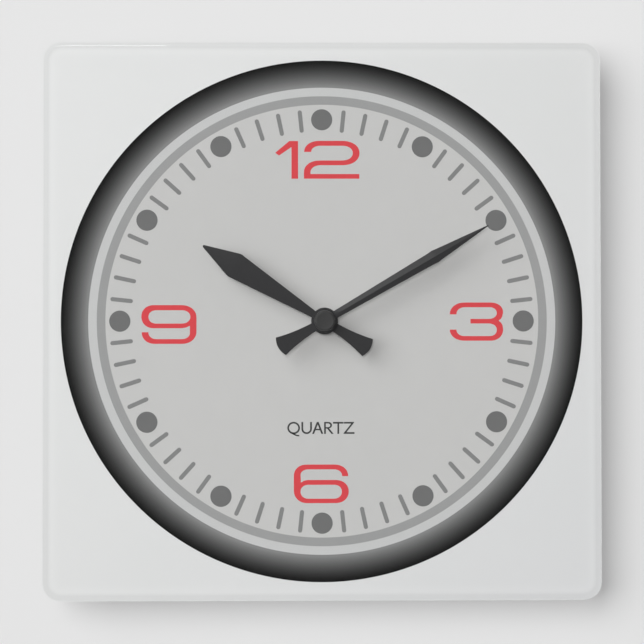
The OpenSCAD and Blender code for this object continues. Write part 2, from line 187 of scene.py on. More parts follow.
def surface(name, color, rough, metallic=0.0, var=0.08, rough_var=0.08, scale=500.0, bump=0.00002,
            grain=4000.0, spec=0.5, coat=0.0, coat_rough=0.1, stretch=None, warm=None):
    """Painted, moulded or metal surface: broad colour variation, fine mottling and fine grain in the bump and
    roughness.
    """
    g = Graph(name)
    vec = g.mapped(scale=stretch) if stretch else None
    broad = g.noise(scale, 4.0, 0.6, vec)
    fine = g.noise(grain, 3.0, 0.6, vec)
    colour = g.ramp(broad, [(0.25, shaded(color, 1 - var)), (0.75, shaded(color, 1 + var))])
    if warm:
        patch = g.noise(scale * 0.23, 2.0, 0.5)
        colour = g.mix(g.range(patch, 0.0, 0.6), colour, shaded(warm, 1.0))
    g.link(colour, g.bsdf.inputs["Base Color"])
    g.link(g.range(fine, max(0.02, rough - rough_var), min(1.0, rough + rough_var)), g.bsdf.inputs["Roughness"])
    g.link(g.bump(fine, bump), g.bsdf.inputs["Normal"])
    g.set(Metallic=metallic)
    g.bsdf.inputs["Specular IOR Level"].default_value = spec
    if coat:
        g.bsdf.inputs["Coat Weight"].default_value = coat
        g.bsdf.inputs["Coat Roughness"].default_value = coat_rough
    return g.mat


def acrylic():
    """Clear cast acrylic with a polished surface. Lamps reach the print behind it, as they do through a clear sheet."""
    g = Graph("clear_acrylic_look")
    wave = g.noise(9.0, 2.0, 0.5)
    tint = g.ramp(g.noise(14.0, 2.0, 0.5), [(0.3, (0.985, 0.992, 0.99, 1)), (0.7, (0.995, 1.0, 0.998, 1))])
    g.link(tint, g.bsdf.inputs["Base Color"])
    g.bsdf.inputs["Transmission Weight"].default_value = 1.0
    g.bsdf.inputs["IOR"].default_value = 1.49
    g.bsdf.inputs["Roughness"].default_value = 0.0
    g.link(g.bump(wave, 0.00001, 0.4), g.bsdf.inputs["Normal"])
    clear = g.add("ShaderNodeBsdfTransparent")
    clear.inputs[0].default_value = (0.97, 0.975, 0.973, 1)
    path = g.add("ShaderNodeLightPath")
    inner = g.add("ShaderNodeMixShader")
    g.link(path.outputs["Is Diffuse Ray"], inner.inputs[0])
    g.link(g.bsdf.outputs[0], inner.inputs[1])
    g.link(clear.outputs[0], inner.inputs[2])
    outer = g.add("ShaderNodeMixShader")
    g.link(path.outputs["Is Shadow Ray"], outer.inputs[0])
    g.link(inner.outputs[0], outer.inputs[1])
    g.link(clear.outputs[0], outer.inputs[2])
    g.link(outer.outputs[0], g.out.inputs["Surface"])
    return g.mat


def bonded():
    """Rear face of the sheet, where the ink is in contact with it, so it neither mirrors nor bends light again."""
    g = Graph("acrylic_printed_face")
    clear = g.add("ShaderNodeBsdfTransparent")
    tint = g.ramp(g.noise(14.0, 2.0, 0.5), [(0.3, (0.995, 0.997, 0.996, 1)), (0.7, (1, 1, 1, 1))])
    g.link(tint, clear.inputs[0])
    g.link(clear.outputs[0], g.out.inputs["Surface"])
    return g.mat


def ink(name, color, var=0.012, rough=0.55, spec=0.0):
    """Screen-printed ink: almost even, with the faint mottling of a pulled coat."""
    return surface(name, color, rough, var=var, rough_var=0.05, scale=260.0, grain=2600.0, bump=0.000003, spec=spec)


def fade_ink():
    """Printed ring that fades from near black at its rim to mid grey, by distance from the print's centre."""
    g = Graph("ink_fade")
    rel = g.add("ShaderNodeVectorMath", operation="SUBTRACT")
    rel.inputs[1].default_value = (PRINT_X * MM, 0, PRINT_Z * MM)
    g.link(g.coord, rel.inputs[0])
    flat = g.add("ShaderNodeVectorMath", operation="MULTIPLY")
    flat.inputs[1].default_value = (1, 0, 1)
    g.link(rel.outputs[0], flat.inputs[0])
    length = g.add("ShaderNodeVectorMath", operation="LENGTH")
    g.link(flat.outputs[0], length.inputs[0])
    lo, hi = FADE_IN * MM, RING_OUT * MM
    t = g.range(length.outputs["Value"], 0.0, 1.0, lo, hi)
    stops = []
    n = 9
    for i in range(n):
        f = i / (n - 1)
        c = srgb(FADE_INNER + (FADE_OUTER - FADE_INNER) * f)
        stops.append((f, (c[0] * FADE_GAIN, c[1] * FADE_GAIN, c[2] * FADE_GAIN, 1.0)))
    tone = g.ramp(t, stops)
    mottle = g.ramp(g.noise(260.0, 4.0, 0.6), [(0.25, (0.985, 0.985, 0.985, 1)), (0.75, (1, 1, 1, 1))])
    m = g.add("ShaderNodeMix", data_type="RGBA", blend_type="MULTIPLY")
    m.inputs["Factor"].default_value = 1.0
    a = [i for i in m.inputs if i.name == "A" and i.type == "RGBA"][0]
    b = [i for i in m.inputs if i.name == "B" and i.type == "RGBA"][0]
    g.link(tone, a)
    g.link(mottle, b)
    g.link([o for o in m.outputs if o.type == "RGBA"][0], g.bsdf.inputs["Base Color"])
    fine = g.noise(2600.0, 3.0, 0.6)
    g.link(g.range(fine, 0.5, 0.6), g.bsdf.inputs["Roughness"])
    g.link(g.bump(fine, 0.000003), g.bsdf.inputs["Normal"])
    g.bsdf.inputs["Specular IOR Level"].default_value = 0.0
    return g.mat


def print_white():
    """White ground coat with painted shade and light: a darker band along the rim with a lighter one just inside it,
    and painted light falloff from the top left corner (lighter) to the bottom right one (darker).
    """
    g = Graph("print_white_painted_light_look")
    sep = g.add("ShaderNodeSeparateXYZ")
    g.link(g.coord, sep.inputs[0])

    def math_node(op, a, b=None, c=None):
        m = g.add("ShaderNodeMath", operation=op)
        for i, v in enumerate((a, b, c)):
            if v is None:
                continue
            if hasattr(v, "is_output"):
                g.link(v, m.inputs[i])
            else:
                m.inputs[i].default_value = v
        return m.outputs[0]

    # distance to the panel's rounded-square outline, in metres
    core = (PANEL_HALF - 9.0) * MM
    dx = math_node("MAXIMUM", math_node("SUBTRACT", math_node("ABSOLUTE", math_node("SUBTRACT", sep.outputs["X"], PANEL_X * MM)), core), 0.0)
    dz = math_node("MAXIMUM", math_node("SUBTRACT", math_node("ABSOLUTE", math_node("SUBTRACT", sep.outputs["Z"], PANEL_Z * MM)), core), 0.0)
    far = math_node("SQRT", math_node("ADD", math_node("MULTIPLY", dx, dx), math_node("MULTIPLY", dz, dz)))
    inside = g.range(math_node("SUBTRACT", 9.0 * MM, far), 0.0, 1.0, 0.0, 9.0 * MM)
    # painted shade along the rim of the sheet, with a painted lighter band just inside it
    rim = g.ramp(inside, [(t / 9.0, (v, v, v * 0.999, 1)) for t, v in ((0.0, 0.95), (0.8, 0.955), (1.3, 0.965), (1.9, 0.93), (2.4, 0.935), (3.2, 0.99), (4.2, 1.02), (5.2, 1.02), (7.5, 1.0), (9.0, 0.995))])
    # painted light falloff: the coat is coloured lighter towards the top left and darker towards the bottom right
    slope = math_node("MULTIPLY", math_node("SUBTRACT", sep.outputs["Z"], sep.outputs["X"]), 1.0)
    painted_light_falloff = g.ramp(g.range(slope, 0.0, 1.0, -0.24, 0.24), [(0.0, srgb(228, 228, 229) + (1,)), (0.5, srgb(233) + (1,)), (1.0, srgb(238) + (1,))])

    def times(a, b):
        m = g.add("ShaderNodeMix", data_type="RGBA", blend_type="MULTIPLY")
        m.inputs["Factor"].default_value = 1.0
        g.link(a, [i for i in m.inputs if i.name == "A" and i.type == "RGBA"][0])
        g.link(b, [i for i in m.inputs if i.name == "B" and i.type == "RGBA"][0])
        return [o for o in m.outputs if o.type == "RGBA"][0]

    mottle = g.ramp(g.noise(260.0, 4.0, 0.6), [(0.25, (0.99, 0.99, 0.99, 1)), (0.75, (1, 1, 1, 1))])
    g.link(times(times(painted_light_falloff, rim), mottle), g.bsdf.inputs["Base Color"])
    fine = g.noise(2600.0, 3.0, 0.6)
    g.link(g.range(fine, 0.5, 0.6), g.bsdf.inputs["Roughness"])
    g.link(g.bump(fine, 0.000003), g.bsdf.inputs["Normal"])
    g.bsdf.inputs["Specular IOR Level"].default_value = 0.0
    return g.mat


# Radii of the print, from its centre
RING_OUT, RING_IN = 127.73, 114.40
LIGHT_IN = 110.20
THIN_IN = 105.99
FADE_IN = 115.1
FADE_INNER, FADE_OUTER, FADE_GAIN = 141.0, 20.0, 1.0

LOOK = {
    "clear_acrylic": acrylic(),
    "print_white": print_white(),
    "black_rubber": surface("rubber_look", (0.018, 0.018, 0.019), 0.85, var=0.2, scale=900, bump=0.00006, grain=2500, spec=0.3),
    "case_black": surface("case_black_look", (0.024, 0.024, 0.026), 0.42, var=0.12, scale=300, bump=0.00003, grain=3200, rough_var=0.1),
    "plate_white": surface("plate_white_look", (0.62, 0.62, 0.59), 0.45, var=0.04, bump=0.00001),
    "brass": surface("brass_look", (0.76, 0.55, 0.23), 0.27, 1.0, var=0.06, rough_var=0.08, stretch=(1, 6, 1), warm=(0.66, 0.45, 0.17)),
    "hand_black": surface("hand_black_look", srgb(54, 54, 55), 0.33, var=0.05, scale=700, bump=0.000003, grain=5000, rough_var=0.04),
    "cap_black": surface("cap_black_look", srgb(63, 63, 63), 0.36, var=0.05, scale=700, bump=0.000005, grain=5000, rough_var=0.05),
    "gear_white": surface("gear_white_look", (0.78, 0.78, 0.74), 0.36, var=0.03, bump=0.000008),
    "gear_red": surface("gear_red_look", (0.5, 0.03, 0.02), 0.36, var=0.08, bump=0.000008),
    "steel": surface("steel_look", (0.58, 0.58, 0.6), 0.24, 1.0, var=0.06, stretch=(1, 8, 1), bump=0.000006),
    "magnet": surface("magnet_look", (0.07, 0.07, 0.075), 0.6, 0.6, var=0.15, bump=0.00001),
    "soft_iron": surface("soft_iron_look", (0.4, 0.41, 0.43), 0.38, 1.0, var=0.12, rough_var=0.12, warm=(0.3, 0.3, 0.33)),
    "bobbin_cream": surface("bobbin_look", (0.64, 0.59, 0.43), 0.5, var=0.05),
    "board_green": surface("board_look", (0.03, 0.16, 0.06), 0.4, var=0.2, scale=900, bump=0.00001, coat=0.4, coat_rough=0.2),
    "resin_black": surface("resin_look", (0.012, 0.012, 0.012), 0.18, var=0.2, bump=0.00002, grain=900),
    "contact_nickel": surface("contact_look", (0.66, 0.65, 0.61), 0.28, 1.0, var=0.05, stretch=(6, 1, 1), bump=0.000006, warm=(0.58, 0.55, 0.48)),
    "cell_steel": surface("cell_steel_look", (0.62, 0.62, 0.62), 0.22, 1.0, var=0.05, stretch=(8, 1, 1), bump=0.000005),
}


def copper():
    g = Graph("copper_look")
    w = g.add("ShaderNodeTexWave", wave_type="BANDS", bands_direction="Z", wave_profile="SIN")
    w.inputs["Scale"].default_value = 700.0
    w.inputs["Distortion"].default_value = 1.5
    w.inputs["Detail"].default_value = 1.0
    g.link(g.coord, w.inputs["Vector"])
    # painted shade in the grooves between turns of wire and painted sheen on their crowns; the bump follows the same
    # bands
    g.link(g.ramp(w.outputs["Fac"], [(0.0, (0.14, 0.035, 0.012, 1)), (1.0, (0.62, 0.2, 0.07, 1))]), g.bsdf.inputs["Base Color"])
    g.link(g.range(g.noise(900.0), 0.22, 0.34), g.bsdf.inputs["Roughness"])
    g.link(g.bump(w.outputs["Fac"], 0.00008), g.bsdf.inputs["Normal"])
    g.set(Metallic=0.85)
    return g.mat


def sleeve():
    """Cell's printed sleeve: dark blue-grey with one pale band near the positive end and no marks."""
    g = Graph("cell_sleeve_look")
    sep = g.add("ShaderNodeSeparateXYZ")
    g.link(g.coord, sep.inputs[0])
    lo, hi = mm_box("battery_sleeve")
    t = g.range(sep.outputs["X"], 0.0, 1.0, lo[0] * MM, hi[0] * MM)
    dark, pale = (0.02, 0.045, 0.075, 1), (0.55, 0.56, 0.55, 1)
    tone = g.ramp(t, [(0.0, dark), (0.70, pale), (0.95, dark)], "CONSTANT")
    g.link(tone, g.bsdf.inputs["Base Color"])
    fine = g.noise(1500.0)
    g.link(g.range(fine, 0.18, 0.3), g.bsdf.inputs["Roughness"])
    g.link(g.bump(fine, 0.000005), g.bsdf.inputs["Normal"])
    g.bsdf.inputs["Coat Weight"].default_value = 0.5
    g.bsdf.inputs["Coat Roughness"].default_value = 0.08
    return g.mat


LOOK["copper_wire"] = copper()
LOOK["cell_sleeve"] = sleeve()



def print_back():
    """Rear of the printed coat: off-white, with roller texture. It gives little of its light back to the wall it hangs on."""
    g = Graph("print_back_look")
    tone = g.ramp(g.noise(220.0, 4.0, 0.6), [(0.25, (0.70, 0.70, 0.69, 1)), (0.75, (0.76, 0.76, 0.75, 1))])
    path = g.add("ShaderNodeLightPath")
    g.link(g.mix(path.outputs["Is Diffuse Ray"], tone, (0.08, 0.08, 0.08, 1)), g.bsdf.inputs["Base Color"])
    fine = g.noise(1800.0, 3.0, 0.6)
    g.link(g.range(fine, 0.5, 0.66), g.bsdf.inputs["Roughness"])
    g.link(g.bump(fine, 0.00001), g.bsdf.inputs["Normal"])
    return g.mat


INK = {
    "fade": fade_ink(),
    "light": ink("ink_light", srgb(206)),
    "thin": ink("ink_thin", srgb(164)),
    "dial": ink("ink_dial", srgb(206, 205, 204)),
    "tick": ink("ink_tick", srgb(139)),
    "dot": ink("ink_dot", srgb(119)),
    "red": ink("ink_red", srgb(224, 79, 85), var=0.02),
    "word": ink("ink_word", srgb(72)),
}

for node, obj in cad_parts.items():
    for s in obj.material_slots:
        s.material = LOOK[s.material.name.split(".")[0]]


# ---------------------------------------------------------------- mesh tools

def finish_mesh(bm, name, material, body, smooth=None, weighted=False):
    bmesh.ops.recalc_face_normals(bm, faces=bm.faces[:])
    mesh = bpy.data.meshes.new(name)
    bm.to_mesh(mesh)
    bm.free()
    mesh.materials.append(material)
    obj = bpy.data.objects.new(name, mesh)
    SCENE.collection.objects.link(obj)
    if smooth is not None:
        for p in mesh.polygons:
            p.use_smooth = True
        mesh.set_sharp_from_angle(angle=math.radians(smooth))
    if weighted:
        m = obj.modifiers.new("weighted", "WEIGHTED_NORMAL")
        m.keep_sharp = True
        m.weight = 100
    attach(obj, body)
    return obj


def co(x, y, z):
    return (x * MM, y * MM, z * MM)


def arc(p, q, start, n=2.0, k=14):
    """Quarter of a superellipse from p to q that leaves p along x ('h') or along z ('v')."""
    out = []
    for i in range(1, k + 1):
        t = math.pi / 2 * i / k
        s = math.sin(t) ** (2 / n)
        c = 1 - max(0.0, math.cos(t)) ** (2 / n)
        if start == "h":
            out.append((p[0] + (q[0] - p[0]) * s, p[1] + (q[1] - p[1]) * c))
        else:
            out.append((p[0] + (q[0] - p[0]) * c, p[1] + (q[1] - p[1]) * s))
    return out


def outline(*spec):
    """Points, and arcs written as ('h' or 'v', x, z, exponent)."""
    pts = []
    for item in spec:
        if isinstance(item[0], str):
            n = item[3] if len(item) > 3 else 2.15
            pts += arc(pts[-1], (item[1], item[2]), item[0], n)
        else:
            pts.append((float(item[0]), float(item[1])))
    return pts


def circle(cx, cz, r, n=96):
    return [(cx + r * math.cos(2 * math.pi * i / n), cz + r * math.sin(2 * math.pi * i / n)) for i in range(n)]


def rounded_square(cx, cz, half, r, k=16):
    pts = []
    for q, (sx, sz) in enumerate(((1, 1), (-1, 1), (-1, -1), (1, -1))):
        for i in range(k + 1):
            a = math.pi / 2 * (q + i / k)
            pts.append((cx + sx * (half - r) + r * math.cos(a), cz + sz * (half - r) + r * math.sin(a)))
    return pts


def rounded_rect(x0, x1, z0, z1, r, k=8):
    cx, cz, hx, hz = (x0 + x1) / 2, (z0 + z1) / 2, (x1 - x0) / 2, (z1 - z0) / 2
    pts = []
    for q, (sx, sz) in enumerate(((1, 1), (-1, 1), (-1, -1), (1, -1))):
        for i in range(k + 1):
            a = math.pi / 2 * (q + i / k)
            pts.append((cx + sx * (hx - r) + r * math.cos(a), cz + sz * (hz - r) + r * math.sin(a)))
    return pts


def lofted(bm, levels):
    """Closed solid through levels [(y, [loop, loop...])]: loop 0 is the outside and the rest are holes. Every level has the same counts."""
    rings = []
    for y, loops in levels:
        rings.append([[bm.verts.new(co(x, y, z)) for x, z in loop] for loop in loops])
    for a, b in zip(rings[:-1], rings[1:]):
        for la, lb in zip(a, b):
            n = len(la)
            for i in range(n):
                j = (i + 1) % n
                bm.faces.new((la[i], la[j], lb[j], lb[i]))
    for level, ring in ((levels[0], rings[0]), (levels[-1], rings[-1])):
        flat = [v for loop in ring for v in loop]
        tris = tessellate_polygon([[Vector((x, z, 0)) for x, z in loop] for loop in level[1]])
        for t in tris:
            try:
                bm.faces.new([flat[i] for i in t])
            except ValueError:
                pass


def printed(name, shapes, y_front, y_rear, material, body="clock_body"):
    """Thin coat of ink: every shape is a list of loops (outside first, then holes)."""
    bm = bmesh.new()
    for loops in shapes:
        lofted(bm, [(y_rear, loops), (y_front, loops)])
    return finish_mesh(bm, name, material, body)


def lathe(bm, profile, cx=0.0, cz=0.0, n=96):
    """Solid of revolution about an axis along Y. profile is [(radius, y)], a closed loop where no radius is 0."""
    rings = []
    for r, y in profile:
        if r < 1e-6:
            rings.append([bm.verts.new(co(cx, y, cz))])
        else:
            rings.append([bm.verts.new(co(cx + r * math.cos(2 * math.pi * i / n), y, cz + r * math.sin(2 * math.pi * i / n))) for i in range(n)])
    pairs = list(zip(rings[:-1], rings[1:]))
    if len(rings[0]) > 1 and len(rings[-1]) > 1:
        pairs.append((rings[-1], rings[0]))
    for a, b in pairs:
        for i in range(n):
            j = (i + 1) % n
            if len(a) == 1 and len(b) == 1:
                continue
            if len(a) == 1:
                bm.faces.new((a[0], b[i], b[j]))
            elif len(b) == 1:
                bm.faces.new((a[i], a[j], b[0]))
            else:
                bm.faces.new((a[i], a[j], b[j], b[i]))


def round_profile(y_in, y_out, e, k=10):
    """Levels (y, inset) of a rounded edge that ends at y_out, from the full outline at y_in."""
    s = 1 if y_out > y_in else -1
    return [(y_out - s * e + s * e * math.sin(math.pi / 2 * i / k), e - e * math.cos(math.pi / 2 * i / k)) for i in range(k + 1)]


def joined(parts, cut=()):
    """Exact union of the bmeshes in parts, less those in cut, as one bmesh."""
    objs = []
    for bm in list(parts) + list(cut):
        bmesh.ops.recalc_face_normals(bm, faces=bm.faces[:])
        mesh = bpy.data.meshes.new("tmp")
        bm.to_mesh(mesh)
        bm.free()
        o = bpy.data.objects.new("tmp", mesh)
        SCENE.collection.objects.link(o)
        objs.append(o)
    main = objs[0]
    for i, o in enumerate(objs[1:], 1):
        m = main.modifiers.new("b", "BOOLEAN")
        m.operation = "UNION" if i < len(parts) else "DIFFERENCE"
        m.solver = "EXACT"
        m.object = o
    bpy.context.view_layer.update()
    deps = bpy.context.evaluated_depsgraph_get()
    mesh = bpy.data.meshes.new_from_object(main.evaluated_get(deps))
    out = bmesh.new()
    out.from_mesh(mesh)
    bpy.data.meshes.remove(mesh)
    for o in objs:
        data = o.data
        bpy.data.objects.remove(o)
        bpy.data.meshes.remove(data)
    return out


# ---------------------------------------------------------------- acrylic panel

EDGE = 2.2
BACK_EDGE = 0.4
CORNER = 9.0
HOLE = 4.0


def panel_loops(inset, hole_grow=0.0):
    return [rounded_square(PANEL_X, PANEL_Z, PANEL_HALF - inset, CORNER - inset, 20), circle(0, 0, HOLE + hole_grow, 96)]


def eased(inset, e):
    """How far the hole's edge opens where the outline is drawn in by inset, on a face whose edge radius is e."""
    return max(0.0, inset - e + 0.25)


bm = bmesh.new()
levels = [(y, panel_loops(inset, eased(inset, BACK_EDGE))) for y, inset in reversed(round_profile(Y_FRONT, Y_REAR, BACK_EDGE, 6))]
levels += [(y, panel_loops(inset, eased(inset, EDGE))) for y, inset in round_profile(Y_REAR, Y_FRONT, EDGE, 16)]
lofted(bm, levels)
panel = finish_mesh(bm, "acrylic_sheet", LOOK["clear_acrylic"], "clock_body")
panel.data.materials.append(bonded())
for p in panel.data.polygons:
    flat = abs(p.normal.y) > 0.9999
    p.use_smooth = not flat
    if flat and p.center.y > (Y_REAR - 0.01) * MM:
        p.material_index = 1
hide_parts("acrylic_panel")

# ---------------------------------------------------------------- print

y_print = Y_REAR + 0.05
base_inset = BACK_EDGE + 0.1
bm = bmesh.new()
film_loops = [rounded_square(PANEL_X, PANEL_Z, PANEL_HALF - base_inset, CORNER - base_inset, 20), circle(0, 0, HOLE, 96)]
lofted(bm, [(Y_REAR + 0.12, film_loops), (FILM_HI[1], film_loops)])
film = finish_mesh(bm, "print_base", LOOK["print_white"], "clock_body")
film.data.materials.append(print_back())
for p in film.data.polygons:
    if p.normal.y > 0.99:
        p.material_index = 1
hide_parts("printed_film")


def ring(r_out, r_in, n=256):
    return [circle(PRINT_X, PRINT_Z, r_out, n), circle(PRINT_X, PRINT_Z, r_in, n)]


y0, y1 = Y_REAR + 0.07, Y_REAR + 0.11
printed("ink_fade_ring", [ring(RING_OUT, RING_IN)], y0, y1, INK["fade"])
printed("ink_light_ring", [ring(RING_IN, LIGHT_IN)], y0, y1, INK["light"])
printed("ink_thin_ring", [ring(LIGHT_IN, THIN_IN)], y0, y1, INK["thin"])
printed("ink_dial_face", [[circle(PRINT_X, PRINT_Z, THIN_IN, 256), circle(0, 0, HOLE, 96)]], y0, y1, INK["dial"])


# The marks and the numbers are each a second pull of the screen, a hair off the rings.
MARK_X, MARK_Z = -1.12, 0.14


def at_minute(k, r):
    a = math.radians(6 * k)
    return MARK_X + r * math.sin(a), MARK_Z + r * math.cos(a)


def capsule(k, r0, r1, w):
    """Minute mark with round ends."""
    a = math.radians(6 * k)
    ux, uz = math.sin(a), math.cos(a)
    pts = []
    for r, d in ((r1 - w, 1), (r0 + w, -1)):
        for i in range(13):
            b = math.pi * i / 12
            side, along = w * math.cos(b) * d, w * math.sin(b) * d
            pts.append((MARK_X + ux * (r + along) + uz * side, MARK_Z + uz * (r + along) - ux * side))
    return pts


yt0, yt1 = Y_REAR + 0.03, Y_REAR + 0.06
printed("ink_minute_marks", [[capsule(k, 92.91, 103.96, 1.03)] for k in range(60) if k % 5], yt0, yt1, INK["tick"])
printed("ink_hour_dots", [[circle(*at_minute(5 * k, 98.79), 5.19, 64)] for k in range(12)], yt0, yt1, INK["dot"])


def moved(loops, dx=0.0, dz=0.0):
    return [[(x - 1.12 + dx, z + 0.52 + dz) for x, z in loop] for loop in loops]


one = outline((-14.66, 69.53), (-11.44, 69.53), (-11.44, 88.05), (-15.69, 88.05), (-22.66, 82.24), (-20.75, 80.92), (-14.67, 85.1))
two = outline(
    (-8.58, 69.56), (18.62, 69.56), (18.62, 71.85), (-5.35, 71.85), (-5.35, 72.6), ("v", -0.2, 76.18), (10.12, 76.18),
    ("h", 18.72, 82.16), ("v", 10.12, 88.15), (-0.71, 88.15), ("h", -8.43, 82.7), (-4.98, 82.7), ("v", -0.3, 85.73),
    (10.12, 85.73), ("h", 15.4, 82.16), ("v", 10.12, 78.5), (-0.71, 78.5), ("h", -8.58, 72.6))
nine = outline(
    (-88.43, -5.75), ("v", -81.9, -11.45), (-69.0, -11.45), ("h", -61.68, -5.3), (-61.68, 1.4), ("v", -69.2, 7.5), (-82.5, 7.5),
    ("h", -88.6, 1.9), ("v", -82.5, -3.8), (-69.2, -3.8), (-66.9, -3.5), (-64.9, -2.6), (-64.9, -6.0), ("v", -69.0, -9.14),
    (-81.0, -9.14), ("h", -85.2, -5.75))
nine_hole = outline((-81.2, 5.0), (-69.0, 5.0), ("h", -64.69, 1.75), ("v", -69.0, -1.52), (-81.2, -1.52), ("h", -85.15, 1.75), ("v", -81.2, 5.0))
three = outline(
    (62.79, 2.95), ("v", 70.3, 8.78), (82.75, 8.78), ("h", 88.95, 3.95), (88.6, 2.1), (87.9, 0.75), (86.75, -0.1),
    (87.9, -1.05), (88.7, -2.4), (88.95, -4.4), ("v", 82.75, -9.95), (70.3, -9.95), ("h", 62.79, -4.5), (66.05, -4.5),
    ("v", 70.2, -7.7), (82.3, -7.7), ("h", 85.85, -4.6), ("v", 81.7, -1.52), (72.93, -1.52), (72.93, 0.72), (81.7, 0.72),
    ("h", 85.85, 3.6), ("v", 82.3, 6.45), (70.2, 6.45), ("h", 66.05, 2.95))
six = outline(
    (12.75, -76.0), ("v", 5.9, -70.3), (-7.5, -70.3), ("h", -13.85, -76.0), (-13.85, -82.8), ("v", -7.2, -89.15), (6.5, -89.15),
    ("h", 13.0, -83.45), ("v", 6.5, -77.85), (-6.9, -77.85), (-8.8, -78.2), (-10.4, -79.1), (-10.55, -75.4), ("v", -6.4, -72.65),
    (5.6, -72.65), ("h", 9.8, -76.0))
six_hole = outline((-6.6, -80.2), (5.8, -80.2), ("h", 9.65, -83.55), ("v", 5.8, -86.98), (-6.6, -86.98), ("h", -10.55, -83.55), ("v", -6.6, -80.2))

printed("numeral_12", [moved([one], -0.17, -0.1), moved([two], -0.17, -0.1)], yt0, yt1, INK["red"])
printed("numeral_3", [moved([three], -0.06, -0.08)], yt0, yt1, INK["red"])
printed("numeral_6", [moved([six, six_hole], 0.02, -0.24)], yt0, yt1, INK["red"])
printed("numeral_9", [moved([nine, nine_hole], 0.33, -0.04)], yt0, yt1, INK["red"])


# The word for the movement's type, in plain single-stroke capitals
W = 0.43
TOP, BOT = -49.74, -55.57


def bar2(p, q, w=W, ext=0.0):
    """Outline of a stroke from p to q."""
    dx, dz = q[0] - p[0], q[1] - p[1]
    d = math.hypot(dx, dz)
    dx, dz = dx / d, dz / d
    p = (p[0] - dx * ext, p[1] - dz * ext)
    q = (q[0] + dx * ext, q[1] + dz * ext)
    return [(p[0] - dz * w, p[1] + dx * w), (q[0] - dz * w, q[1] + dx * w), (q[0] + dz * w, q[1] - dx * w), (p[0] + dz * w, p[1] - dx * w)]


def ribbon(path, w=W):
    """Outline of a stroke of half-width w along a smooth open path."""
    left, right = [], []
    n = len(path)
    for i, (x, z) in enumerate(path):
        a, b = path[max(0, i - 1)], path[min(n - 1, i + 1)]
        dx, dz = b[0] - a[0], b[1] - a[1]
        d = math.hypot(dx, dz)
        left.append((x - dz / d * w, z + dx / d * w))
        right.append((x + dz / d * w, z - dx / d * w))
    return left + right[::-1]


def oval(cx, cz, rx, rz, a0, a1, n=28):
    return [(cx + rx * math.cos(math.radians(a0 + (a1 - a0) * i / n)), cz + rz * math.sin(math.radians(a0 + (a1 - a0) * i / n))) for i in range(n + 1)]


def ellipse(cx, cz, rx, rz, n=64):
    return oval(cx, cz, rx, rz, 0, 360, n)[:-1]


letters = []
# Q
letters.append([ellipse(-13.63, -52.67, 3.1, 3.0), ellipse(-13.63, -52.67, 2.24, 2.17)])
letters.append([ribbon([(-14.5, -55.05), (-13.7, -55.6), (-12.7, -56.1), (-11.8, -56.4), (-10.9, -56.4)], 0.36)])
# U
letters.append([ribbon([(-9.4, TOP), (-9.4, -51.5)] + oval(-7.27, -53.15, 2.13, 2.05, 180, 360) + [(-5.14, -51.5), (-5.14, TOP)])])
# A
letters.append([[(-4.6, BOT), (-3.68, BOT), (-2.93, -53.8), (-0.79, -53.8), (-0.05, BOT), (0.87, BOT), (-1.42, TOP), (-2.3, TOP)],
                [(-1.86, -50.95), (-2.67, -53.08), (-1.05, -53.08)]])
# R
letters.append([[(1.27, BOT), (2.12, BOT), (2.12, -53.0), (2.75, -53.0), (4.85, BOT), (5.95, BOT), (3.75, -52.92)]
                + oval(3.35, -51.33, 1.78, 1.59, -70, 90, 16) + [(1.27, TOP)],
                [(2.12, -52.28), (2.12, -50.48)] + oval(3.2, -51.38, 1.08, 0.9, 90, -90, 14)])
# T
letters.append([[(5.63, TOP), (5.63, TOP - 0.83), (7.77, TOP - 0.83), (7.77, BOT), (8.63, BOT), (8.63, TOP - 0.83), (10.76, TOP - 0.83), (10.76, TOP)]])
# Z
letters.append([[(10.95, TOP), (10.95, TOP - 0.83), (14.55, TOP - 0.83), (10.77, BOT + 0.3), (10.77, BOT), (16.14, BOT), (16.14, BOT + 0.83),
                 (12.25, BOT + 0.83), (15.95, TOP - 0.3), (15.95, TOP)]])
printed("ink_word", [moved(loops, -0.24, 0.0) for loops in letters], yt0, yt1, INK["word"])


# ---------------------------------------------------------------- hands

def hand_profile(length, half, wide, neck, blunt):
    """(distance from the hub, half width) along a hand, from its tail to its tip."""
    tail_half, tail_len, bulge = 4.92, 26.0, 1.4
    at = tail_len - bulge
    pts = [(-tail_len + bulge * (i / 10) ** 2, max(0.03, tail_half * i / 10)) for i in range(11)]
    for i in range(1, 17):
        s = at - i * (at - 6.4) / 16
        pts.append((-s, 2.08 + (tail_half - 2.08) * (s / at) ** 2.3))
    pts.append((0.0, (neck + 2.2) / 2))
    pts.append((6.2, neck))
    for i in range(1, 13):
        t = i / 12
        pts.append((6.2 + (wide - 1.6 - 6.2) * t, neck + (half - 0.2 - neck) * t))
    pts += [(wide - 0.8, half - 0.08), (wide, half), (wide + 0.8, half - 0.06), (wide + 1.6, half - 0.2)]
    for i in range(1, 11):
        t = i / 10
        pts.append((wide + 1.6 + (length - 0.5 - wide - 1.6) * t, half - 0.2 + (blunt - half + 0.2) * t))
    pts += [(length - 0.27, blunt * 0.82), (length - 0.12, blunt * 0.55), (length - 0.03, blunt * 0.25), (length, 0.02)]
    return pts


